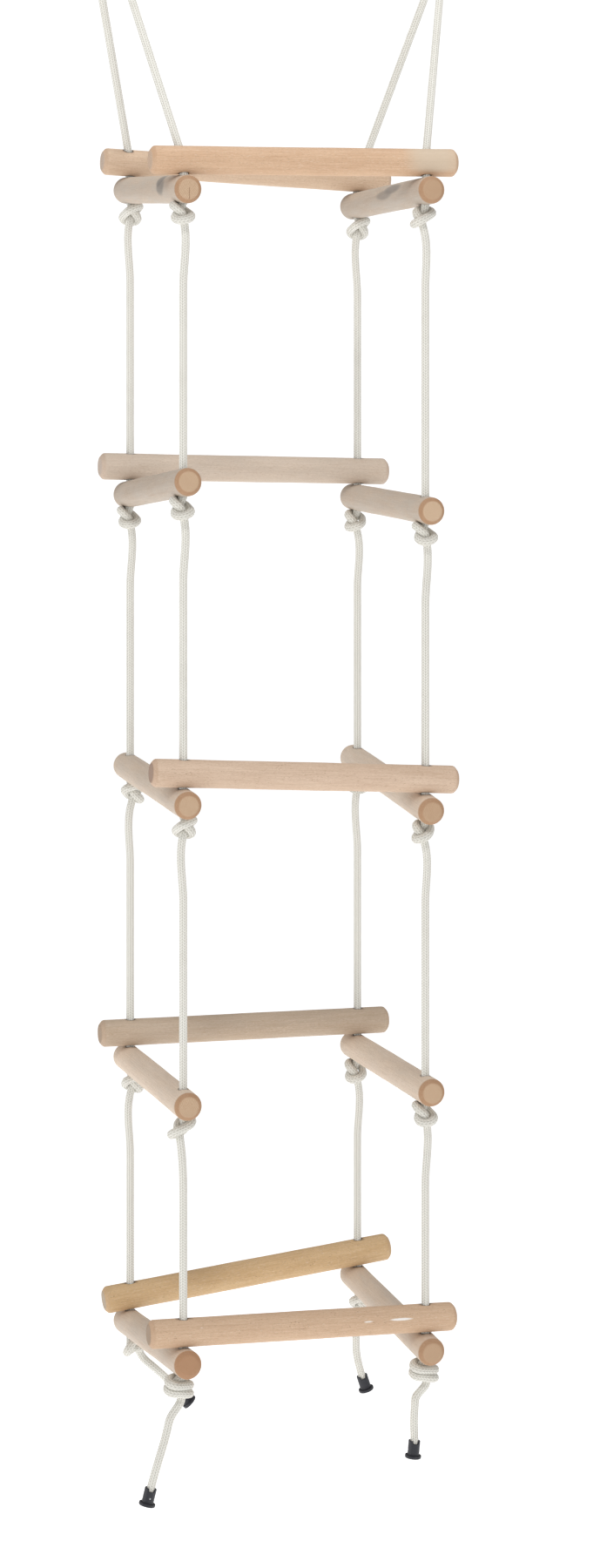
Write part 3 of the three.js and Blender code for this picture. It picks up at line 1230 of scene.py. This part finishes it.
@dataclass
class RopeEnd:
    """The moulded cap on a rope's end and the steel pin through it."""

    corner: Corner
    end: Points
    outwards: Points
    pin_turn: float
    height: float = 0.022
    floor: float = 0.006
    gap: float = 0.00035
    notch_depth: float = 0.0035
    notch_half_angle: float = 37
    pin_radius: float = 0.001
    pin_length: float = 0.0154
    pin_above_base: float = 0.0105
    sides: int = 128

    def placed(self, points: Points) -> Points:
        """Moves a cap's or pin's points to the rope's end.

        Args:
            points: points about Z, with the cap's base at 0 and its mouth up.

        Returns:
            The points in the row frame.
        """
        turn = Vector((0, 0, 1)).rotation_difference(Vector(-self.outwards)).to_matrix()
        base = self.end + self.outwards * (self.floor + self.gap)
        return points @ np.array(turn).T + base

    def cap(self, material: bpy.types.Material) -> bpy.types.Object:
        """Makes the cap: a lipped foot, a barrel and two prongs between two notches.

        Args:
            material: its finish.

        Returns:
            The piece.
        """
        foot = [(0, 0.0004), (6.5, 0.3), (7.0, 0.05), (8.8, 0), (9.7, 0.22), (10.15, 0.8),
                (10.25, 1.4), (10.25, 3.2), (10.12, 3.75), (9.75, 4.0), (9.3, 3.98), (9.0, 3.7),
                (8.7, 3.3), (8.1, 3.15), (7.7, 3.35), (7.5, 4.0), (7.42, 5.0)]
        wall = [(7.4, 6 + 1.35 * k) for k in range(12)]
        lip = [(7.34, 21.6), (7.15, 21.9), (6.8, 22), (6.1, 22), (5.75, 21.85), (5.58, 21.4)]
        bore = [(5.5, 21 - 1.5 * k) for k in range(10)] + [(5.4, 6.3), (5.0, 6.0), (0, 6.0)]
        profile = [(r * MILLIMETRE, z * MILLIMETRE) for r, z in foot + wall + lip + bore]
        points, faces = lathe(profile, self.sides)
        points = self.notched(points)
        name = f"{self.corner.label}_moulded_cap"
        return new_piece(name, self.placed(points), faces, material, 35)

    def notched(self, points: Points) -> Points:
        """Lowers the barrel's rim in two notches, one on each side.

        Args:
            points: the cap's points, base at 0 and mouth up.

        Returns:
            The points, with the rim between the prongs lowered.
        """
        start = self.height - 2.2 * self.notch_depth
        turn = np.degrees(np.arctan2(np.abs(points[:, 1]), np.abs(points[:, 0])))
        inside = np.clip((turn - (90 - self.notch_half_angle)) / 7, 0, 1)
        inside = inside * inside * (3 - 2 * inside)
        high = np.clip(points[:, 2] - start, 0, None)
        lowered = points.copy()
        lowered[:, 2] -= high * inside * self.notch_depth / (self.height - start)
        return lowered

    def pin(self, material: bpy.types.Material) -> bpy.types.Object:
        """Makes the pin, with domed ends, across the cap.

        Args:
            material: its finish.

        Returns:
            The piece.
        """
        r, half = self.pin_radius, self.pin_length / 2
        dome = [(r * math.sin(a), half - r * 0.5 + r * 0.5 * math.cos(a))
                for a in np.linspace(0.35, math.pi / 2, 5)]
        upper = [(0, half)] + dome
        profile = [(p[0], -p[1]) for p in upper] + upper[::-1]
        points, faces = lathe(profile, 24)
        turn = math.radians(self.pin_turn)
        lying = np.stack([points[:, 2], points[:, 0], points[:, 1]], axis=1)
        c, s = math.cos(turn), math.sin(turn)
        turned = lying @ np.array([[c, s, 0], [-s, c, 0], [0, 0, 1]])
        turned[:, 2] += self.pin_above_base
        return new_piece(f"{self.corner.label}_pin", self.placed(turned), faces, material, 30)


@dataclass
class HangingRing:
    """A welded ring of round wire."""

    side: int
    around: int = 144
    section: int = 28
    weld_turn: float = 0.8
    weld_width: float = 0.045
    weld_height: float = 0.00055

    def build(self, material: bpy.types.Material) -> bpy.types.Object:
        """Makes the ring, with the weld's bead at its upper outer side.

        Args:
            material: its finish.

        Returns:
            The piece.
        """
        turns = np.arange(self.around) * TURN / self.around
        from_weld = np.angle(np.exp(1j * (turns - self.weld_turn)))
        weld = np.exp(-((from_weld / self.weld_width) ** 2)) * self.weld_height
        wire = PLAN.ring_wire / 2 + weld
        spin = np.arange(self.section) * TURN / self.section
        reach = PLAN.ring_radius + wire[:, None] * np.cos(spin)[None]
        rows = np.stack([
            self.side * PLAN.ring_x + reach * np.cos(turns)[:, None],
            wire[:, None] * np.sin(spin)[None] + np.zeros((self.around, 1)),
            PLAN.bar_height + PLAN.ring_radius + reach * np.sin(turns)[:, None],
        ], axis=2)
        points = rows.reshape(-1, 3)
        k, row = np.arange(self.section), np.arange(self.around)[:, None]
        after = (row + 1) % self.around
        faces = np.stack([row * self.section + k, row * self.section + (k + 1) % self.section,
                          after * self.section + (k + 1) % self.section,
                          after * self.section + k], axis=2).reshape(-1, 4)
        name = "left_steel_ring" if self.side < 0 else "right_steel_ring"
        return new_piece(name, points, faces[:, ::-1], material)


# ------------------------------------------------------------------ rungs


@dataclass
class Rung:
    """A beech dowel with eased, chamfered ends and two bores.

    ROUNDING is half an end's outline, as (depth, radius) pairs in millimetres.
    """

    node: str
    finish: BeechFinish
    sides: int = 72
    body_rows: int = 48
    bore_sides: int = 40

    CHAMFER_REACH = 0.0062
    CHAMFER_FADE = 0.0016
    FACE_RADIUS = 0.0128
    FACE_FADE = 0.0006
    FACE_DEPTH = 0.0011
    BORE_MARGIN = 0.0002
    RIM_DEPTH = 0.0004
    RIM_SHADE = 0.75
    ROUNDING = ((0, 0), (0, 4), (0, 8), (0, 10.6), (0.1, 11.6), (0.45, 12.4), (1.1, 13.3),
                (2.0, 14.4), (2.9, 15.4), (3.8, 16.3), (4.7, 16.95), (5.8, 17.32), (7.2, 17.47),
                (9.0, 17.5))

    def profile(self, length: float) -> list[tuple[float, float]]:
        """The dowel's outline, as (radius, distance along it) from end to end.

        Args:
            length: the dowel's length.

        Returns:
            The outline.
        """
        end = [(r * MILLIMETRE, z * MILLIMETRE - length / 2) for z, r in self.ROUNDING]
        reach = -end[-1][1]
        body = [(PLAN.rung_diameter / 2, z)
                for z in np.linspace(-reach, reach, self.body_rows)[1:-1]]
        return end + body + [(r, -z) for r, z in reversed(end)]

    def build(self) -> bpy.types.Object:
        """Makes the rung.

        Returns:
            The piece, its grain, its ends and its painted bore shade written on its mesh.
        """
        axis = node_axis(self.node)
        length = float(np.linalg.norm(axis.end - axis.start))
        points, faces = lathe(self.profile(length), self.sides)
        along, middle = axis.direction, (axis.start + axis.end) / 2
        side = np.cross(UP, along)
        side /= np.linalg.norm(side)
        basis = np.stack([side, np.cross(along, side), along])
        points = self.hand_sanded(points)
        piece = new_piece(self.node + "_beech", points @ basis + middle, faces,
                          self.finish.material(), 50)
        for corner in self.corners():
            self.drill(piece, corner)
        self.write_grain(piece.data, basis, middle, length)
        return piece

    def corners(self) -> list[Corner]:
        """The two ropes that go through this rung."""
        side = self.node.split("_")[0]
        return [c for c in Corner if side in c.label.split("_")]

    def hand_sanded(self, points: Points) -> Points:
        """Gives the turned dowel its slight unevenness.

        Args:
            points: the dowel's points, about Z.

        Returns:
            The uneven points.
        """
        turn = np.arctan2(points[:, 1], points[:, 0])
        z = points[:, 2] * 1000 + self.finish.seed * 10
        wave = (0.09 * np.sin(z / 31) + 0.06 * np.sin(z / 13 + 2 * turn)
                + 0.05 * np.sin(z / 47 - turn))
        scale = 1 + wave[:, None] * MILLIMETRE / (PLAN.rung_diameter / 2)
        return points * np.concatenate([scale, scale, np.ones_like(scale)], axis=1)

    def bore_line(self, corner: Corner) -> Points:
        """The line that a bore follows.

        Args:
            corner: the rope that goes through it.

        Returns:
            Points well above and below the rung, and the bend in the topmost cross rungs.
        """
        x, y = PLAN.corner_xy(corner)
        axis = node_axis(self.node)
        which = int(np.abs(axis.direction[:2]).argmax())
        centre = axis.height_at(which, (x, y)[which])
        reach = PLAN.rung_diameter
        if self.node not in ("front_rung_1", "rear_rung_1"):
            return np.array([[x, y, centre + reach], [x, y, centre - reach]])
        bend = np.array([x, y, PLAN.top_rung_height(corner)])
        top = np.array([corner.side_x * PLAN.ring_x, 0, PLAN.bar_height])
        up = (top - bend) / np.linalg.norm(top - bend)
        mouth = bend + [0, corner.side_y * PLAN.mouth_shift, -PLAN.rung_diameter / 2]
        down = mouth - bend - PLAN.leg_bend * up
        return np.array([bend + reach * up, bend + PLAN.leg_bend * up, mouth, mouth + down])

    def drill(self, piece: bpy.types.Object, corner: Corner) -> None:
        """Cuts a bore out of the rung.

        Args:
            piece: the rung.
            corner: the rope that goes through the bore.
        """
        line = self.bore_line(corner)
        _, across, beyond = carried_frames(line)
        angle = (np.arange(self.bore_sides) * TURN / self.bore_sides)[None, :, None]
        rings = line[:, None] + PLAN.bore_diameter / 2 * (
            np.cos(angle) * across[:, None] + np.sin(angle) * beyond[:, None])
        points, faces = loft(rings)
        tool = new_piece("bore_tool", points, faces, piece.data.materials[0])
        cut = piece.modifiers.new("bore", "BOOLEAN")
        cut.operation, cut.object, cut.solver = "DIFFERENCE", tool, "EXACT"
        graph = bpy.context.evaluated_depsgraph_get()
        cut_mesh = bpy.data.meshes.new_from_object(piece.evaluated_get(graph))
        piece.modifiers.clear()
        old = piece.data
        piece.data = cut_mesh
        bpy.data.meshes.remove(old)
        bpy.data.objects.remove(tool)

    def write_grain(self, mesh: bpy.types.Mesh, basis: Points, middle: Points,
                    length: float) -> None:
        """Writes where each point lies in the wood, where its ends are chamfered and cut, and where
        its bores and their rims get painted shade.

        Args:
            mesh: the rung's mesh.
            basis: unit vectors across the rung, upwards and along it.
            middle: the rung's middle.
            length: its length.
        """
        points = np.array([v.co for v in mesh.vertices], float)
        local = (points - middle) @ basis.T
        grain = np.stack([local[:, 2], -local[:, 0], local[:, 1]], axis=1)
        radius = np.hypot(local[:, 0], local[:, 1])
        from_end = length / 2 - np.abs(local[:, 2])
        chamfer = np.clip((self.CHAMFER_REACH - from_end) / self.CHAMFER_FADE, 0, 1)
        face = np.clip((self.FACE_RADIUS - radius) / self.FACE_FADE, 0, 1)
        face = face * (from_end < self.FACE_DEPTH)
        bore = np.zeros(len(points))
        for corner in self.corners():
            line = self.bore_line(corner)
            near = np.full(len(points), 1.0)
            for a, b in zip(line[:-1], line[1:]):
                share = np.clip(((points - a) @ (b - a)) / ((b - a) @ (b - a)), 0, 1)
                foot = a + share[:, None] * (b - a)
                near = np.minimum(near, np.linalg.norm(points - foot, axis=1))
            # Painted shade: a bore's inside gets full shade, its rim at the rung's surface a little
            # less.
            inside = near < PLAN.bore_diameter / 2 + self.BORE_MARGIN
            rim = inside & (radius > PLAN.rung_diameter / 2 - self.RIM_DEPTH)
            bore = np.maximum(bore, np.where(rim, self.RIM_SHADE, np.where(inside, 1.0, 0.0)))
        for name, values in (("grain", grain), ("ends_and_bore_shade", np.stack([chamfer, face, bore], axis=1))):
            layer = mesh.attributes.new(name, "FLOAT_VECTOR", "POINT")
            layer.data.foreach_set("vector", values.astype(np.float32).ravel())


# ------------------------------------------------------------------ the whole ladder


WHITE: Colour = (0.93, 0.91, 0.88)
# Painted shadow of a front rung on a side rung, with grey smudge in it.
SHADOW_AND_SMUDGE: Colour = (0.22, 0.195, 0.175)


def beech_finishes() -> dict[str, BeechFinish]:
    """Each rung's own piece of beech.

    Returns:
        Finishes by node.
    """
    # Painted shadows of the front rungs on the topmost side rungs, each with grey smudge in it.
    shadow_and_smudge_marks = {"left_rung_1": (Mark(-0.080, 140, 0.020, 0.013, SHADOW_AND_SMUDGE, 0.85, 0.9),
                              Mark(-0.092, 172, 0.026, 0.014, SHADOW_AND_SMUDGE, 0.65, 0.9)),
               "right_rung_1": (Mark(-0.055, 150, 0.045, 0.010, SHADOW_AND_SMUDGE, 0.75, 0.9),
                               Mark(-0.025, 172, 0.045, 0.009, SHADOW_AND_SMUDGE, 0.6, 0.9))}
    cross = {
        "front_rung_1": dict(seed=1.3, light=(0.71, 0.49, 0.325), dark=(0.53, 0.325, 0.195),
                             flecks=0.5, face=(0.64, 0.50, 0.38), marks=(
                                 Mark(0.165, 20, 0.045, 0.05, (0.62, 0.52, 0.40), 0.75, 0.1),)),
        "rear_rung_1": dict(seed=2.1, light=(0.72, 0.54, 0.39), dark=(0.55, 0.37, 0.24),
                            flecks=0.8, face=(0.60, 0.52, 0.44), greyed=0.1),
        "rear_rung_2": dict(seed=3.7, light=(0.67, 0.555, 0.455), dark=(0.53, 0.42, 0.325),
                            flecks=0.3, face=(0.62, 0.56, 0.50), greyed=0.25),
        "front_rung_3": dict(seed=4.9, light=(0.72, 0.55, 0.42), dark=(0.54, 0.38, 0.265),
                             flecks=1.0, face=(0.33, 0.255, 0.215)),
        "rear_rung_4": dict(seed=5.2, light=(0.61, 0.48, 0.36), dark=(0.45, 0.335, 0.235),
                            flecks=0.4, face=(0.385, 0.32, 0.25), greyed=0.2),
        "front_rung_5": dict(seed=6.4, light=(0.69, 0.495, 0.34), dark=(0.52, 0.335, 0.21),
                             flecks=1.0, face=(0.345, 0.285, 0.22), marks=(
                                 Mark(0.123, 15, 0.020, 0.0022, WHITE, 0.9, 0.8),
                                 Mark(0.080, 13, 0.008, 0.0014, WHITE, 0.7, 0.9),
                                 Mark(-0.135, 30, 0.002, 0.0008, WHITE, 0.35, 1.0))),
        "rear_rung_5": dict(seed=7.8, light=(0.70, 0.50, 0.285), dark=(0.53, 0.335, 0.16),
                            flecks=1.0, face=(0.49, 0.44, 0.35)),
    }
    made = {node: BeechFinish(node, chamfer_shade=0.3, **values)
            for node, values in cross.items()}
    greys = (0.75, 0.70, 0.50, 0.30, 0.50)
    # Painted light: each side rung's beech is made lighter or darker by storey and side, standing
    # in for how brightly it is lit.
    painted_light_scale = {"left": (0.91, 0.80, 1.01, 1.17, 1.0), "right": (0.80, 0.90, 1.12, 1.15, 1.05)}
    for storey, grey in enumerate(greys, 1):
        for side in ("left", "right"):
            node, bright = f"{side}_rung_{storey}", painted_light_scale[side][storey - 1]
            # Painted light: the rung's light and dark colours are scaled by its lighting scale.
            made[node] = BeechFinish(
                node, light=(0.67 * bright, 0.55 * bright, 0.44 * bright),
                dark=(0.52 * bright, 0.40 * bright, 0.30 * bright),
                seed=10 + storey * 2.3 + (0.9 if side == "right" else 0), flecks=0.2, greyed=grey,
                marks=shadow_and_smudge_marks.get(node, ()), cracked=node == "left_rung_1",
                face=(0.56, 0.34, 0.21) if node == "left_rung_5" else BeechFinish.face,
                face_shade={"left_rung_5": 0.65, "right_rung_1": 0.55, "right_rung_2": 0.2,
                            "right_rung_3": 0.5, "right_rung_5": 0.5}.get(node, 0.35))
    return made


@dataclass
class Ladder:
    """The whole object, built from the ropes outwards."""

    tails: dict[Corner, tuple[tuple[float, float, float], ...]]
    pin_turns: dict[Corner, float]
    declared_lengths: dict[Corner, float]

    def build_ropes(self) -> None:
        pull = KnotPull()
        shapes = {form: pull.tight(form) for form in KnotForm}
        braid = Braid()
        rope_material = RopeFinish(braid).material()
        plastic, zinc = PlasticFinish().material(), ZincFinish("pin_steel").material()
        for corner in Corner:
            rope = Rope(corner, self.tails[corner], KNOTS[corner], shapes, braid)
            piece, line = rope.build(rope_material)
            outwards = (line[-1] - line[-6]) / np.linalg.norm(line[-1] - line[-6])
            end = RopeEnd(corner, line[-1], outwards, self.pin_turns[corner])
            cap, pin = end.cap(plastic), end.pin(zinc)
            self.join(piece, "ropes", "rope", f"{corner.label}_rope")
            self.join(cap, "ropes", "cap_plastic", f"{corner.label}_end_cap")
            self.join(pin, "ropes", "steel", f"{corner.label}_cap_pin")
            log.info("%s: %.3f m of rope", piece.name, length_of(line))

    def build_rings(self) -> None:
        """Makes the two rings."""
        zinc = ZincFinish().material()
        for side, node in ((-1, "left_ring"), (1, "right_ring")):
            self.join(HangingRing(side).build(zinc), "hangers", "steel", node)

    def build_rungs(self) -> None:
        """Makes every rung on the body that carries it."""
        for node, finish in beech_finishes().items():
            body = "ropes" if node.endswith("_1") else node
            slot = "side_wood" if node.split("_")[0] in ("left", "right") else "cross_wood"
            piece = Rung(node, finish).build()
            self.join(piece, body, slot, node)
            log.info("%s: %d faces", piece.name, len(piece.data.polygons))

    @staticmethod
    def join(piece: bpy.types.Object, body: str, slot: str, node: str) -> None:
        """Puts a piece on its body in place of its node.

        Args:
            piece: the piece.
            body: the body that it moves with.
            slot: the record's material slot; not used.
            node: the frame's node that it stands for.
        """
        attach(piece, body)
        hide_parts(node)


# ------------------------------------------------------------------ the studio


@dataclass(frozen=True)
class Studio:
    """A bright, even studio: a pale floor, a white surround, soft lights and a level camera."""

    camera_distance: float = 3.96
    camera_turn: float = -16.0
    camera_height: float = -0.803
    lens: float = 70.42
    sensor: float = 36.0
    shift: tuple[float, float] = (0.0164, -0.1889)
    floor_drop: float = 0.42

    def build_camera(self) -> None:
        """Sets the camera level, beside and in front of the ladder."""
        data = bpy.data.cameras.new("camera")
        data.lens, data.sensor_width = self.lens, self.sensor
        data.shift_x, data.shift_y = self.shift
        data.clip_end = 60
        camera = bpy.data.objects.new("camera", data)
        turn = math.radians(self.camera_turn)
        camera.location = (self.camera_distance * math.sin(turn),
                           -self.camera_distance * math.cos(turn), self.camera_height)
        camera.rotation_euler = (math.pi / 2, 0, turn)
        bpy.context.scene.collection.objects.link(camera)
        bpy.context.scene.camera = camera

    def build_floor(self, lowest: float) -> None:
        """Lays a pale floor under the ladder.

        Args:
            lowest: the ladder's lowest point.
        """
        s = Surface("pale_floor", Roughness=0.9)
        place = s.node("ShaderNodeTexCoord", output="Object")
        cloud = s.noise(place, 0.6, 3, 0.5)
        s.feed("Base Color", s.mix(cloud, (0.93, 0.93, 0.93), (0.97, 0.97, 0.97)))
        s.shader.inputs["Emission Color"].default_value = (1, 1, 1, 1)
        s.shader.inputs["Emission Strength"].default_value = 0.62
        points, faces = lathe([(0, 0)] + [(r, 0) for r in (2, 6, 12)] + [(20, 0), (0, -0.02)], 96)
        points[:, 2] += lowest - self.floor_drop
        new_piece("pale_floor", points, faces, s.material)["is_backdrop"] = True

    def build_lights(self) -> None:
        """Hangs four soft lights in a bright surround."""
        world = bpy.data.worlds.new("surround")
        bpy.context.scene.world = world
        world.use_nodes = True
        tree = world.node_tree
        back = tree.nodes["Background"]
        back.inputs["Color"].default_value = (1, 1, 1, 1)
        back.inputs["Strength"].default_value = 0.46
        seen = tree.nodes.new("ShaderNodeBackground")
        seen.inputs["Color"].default_value = (1, 1, 1, 1)
        seen.inputs["Strength"].default_value = 1.1
        ray, mix = tree.nodes.new("ShaderNodeLightPath"), tree.nodes.new("ShaderNodeMixShader")
        tree.links.new(ray.outputs["Is Camera Ray"], mix.inputs[0])
        tree.links.new(back.outputs[0], mix.inputs[1])
        tree.links.new(seen.outputs[0], mix.inputs[2])
        tree.links.new(mix.outputs[0], tree.nodes["World Output"].inputs["Surface"])
        self.softbox("key", (-1.2, -2.6, 1.9), 44, (0.8, 0.8))
        self.softbox("fill", (2.6, -2.4, -0.4), 8, (2.2, 3.0))
        self.softbox("crown", (0.1, -0.5, 2.6), 34, (1.3, 1.3))
        self.softbox("side", (-3.2, 0.0, -1.6), 16, (1.6, 2.2))

    @staticmethod
    def softbox(name: str, place: tuple[float, float, float], watts: float,
                size: tuple[float, float]) -> None:
        """Hangs one soft light that faces the ladder's middle.

        Args:
            name: the light's name.
            place: where it hangs.
            watts: its power.
            size: its width and height.
        """
        data = bpy.data.lights.new(name, "AREA")
        data.shape, data.size, data.size_y, data.energy = "RECTANGLE", *size, watts
        light = bpy.data.objects.new(name, data)
        light.location = place
        aim = Vector((0, 0, -1.0)) - Vector(place)
        light.rotation_euler = aim.to_track_quat("-Z", "Y").to_euler()
        bpy.context.scene.collection.objects.link(light)


# Where each rope's tail hangs below its last knot, as (x, y) from its bore and the height.
TAILS = {
    Corner.LEFT_FRONT: ((-0.0145, 0, -1.932), (-0.0182, -0.001, -1.952),
                        (-0.0238, -0.002, -1.973), (-0.032, -0.003, -1.998),
                        (-0.039, -0.003, -2.021), (-0.0455, -0.003, -2.046)),
    Corner.RIGHT_FRONT: ((-0.006, 0, -1.910), (-0.0115, 0, -1.925), (-0.0137, 0, -1.952),
                         (-0.0152, 0, -1.979), (-0.0146, 0, -2.001), (-0.016, 0, -2.018)),
    Corner.LEFT_REAR: ((0.008, 0, -1.946), (0.019, -0.001, -1.955), (0.032, -0.003, -1.967),
                       (0.046, -0.005, -1.980), (0.061, -0.008, -1.997), (0.075, -0.010, -2.011)),
    Corner.RIGHT_REAR: ((-0.003, 0, -1.902), (-0.001, 0, -1.925), (-0.002, 0, -1.950),
                        (-0.001, 0, -1.972), (0.004, 0, -1.994), (0.011, 0, -2.016)),
}
PIN_TURNS = {Corner.LEFT_FRONT: 90, Corner.RIGHT_FRONT: 0, Corner.LEFT_REAR: 0,
             Corner.RIGHT_REAR: 0}
ROPE_LENGTHS = {Corner.LEFT_FRONT: 2.67, Corner.RIGHT_FRONT: 2.63, Corner.LEFT_REAR: 2.58,
                Corner.RIGHT_REAR: 2.55}


def main() -> None:
    """Builds the camera and the ropes first, then the rest."""
    logging.basicConfig(level=logging.INFO, format="%(name)s %(message)s")
    cad_box = [list(corner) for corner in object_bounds()]
    bpy.context.scene.view_settings.view_transform = "Standard"
    studio = Studio()
    studio.build_camera()
    ladder = Ladder(TAILS, PIN_TURNS, ROPE_LENGTHS)
    ladder.build_ropes()
    ladder.build_rings()
    ladder.build_rungs()
    studio.build_floor(cad_box[0][2])
    studio.build_lights()


if __name__ == "__main__":
    main()
